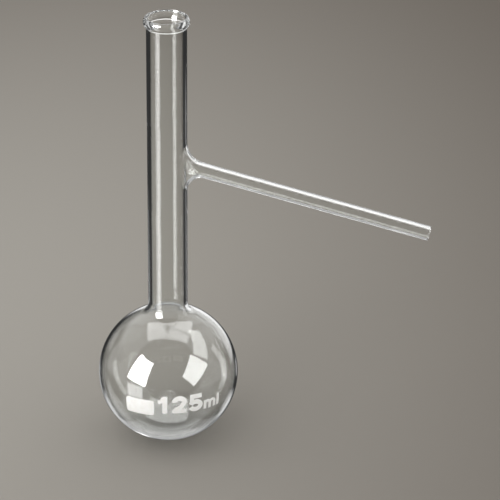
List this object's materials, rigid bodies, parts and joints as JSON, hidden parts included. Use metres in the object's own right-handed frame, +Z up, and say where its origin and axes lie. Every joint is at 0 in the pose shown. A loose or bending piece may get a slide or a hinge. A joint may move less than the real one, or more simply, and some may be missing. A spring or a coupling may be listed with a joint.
{
  "type": "distillation flask",
  "caption": "Round-bottomed blown glass flask with a long straight neck, a rolled rim and a slanting vapour side tube, clamped by the neck to boil a liquid and lead off its vapour.",
  "frame": {"origin": "lowest point of the bulb, on the neck's axis", "axes": "+Z up along the neck's axis towards the mouth; the vapour tube leaves the neck towards +X and slopes down; -Y is the side that carries the capacity mark"},
  "size_m": [0.1622, 0.069, 0.2215],
  "materials": {
    "borosilicate_glass": "clear, fire-polished, smooth"
  },
  "bodies": {
    "root": {"flask": "borosilicate_glass"}
  },
  "joints": []
}
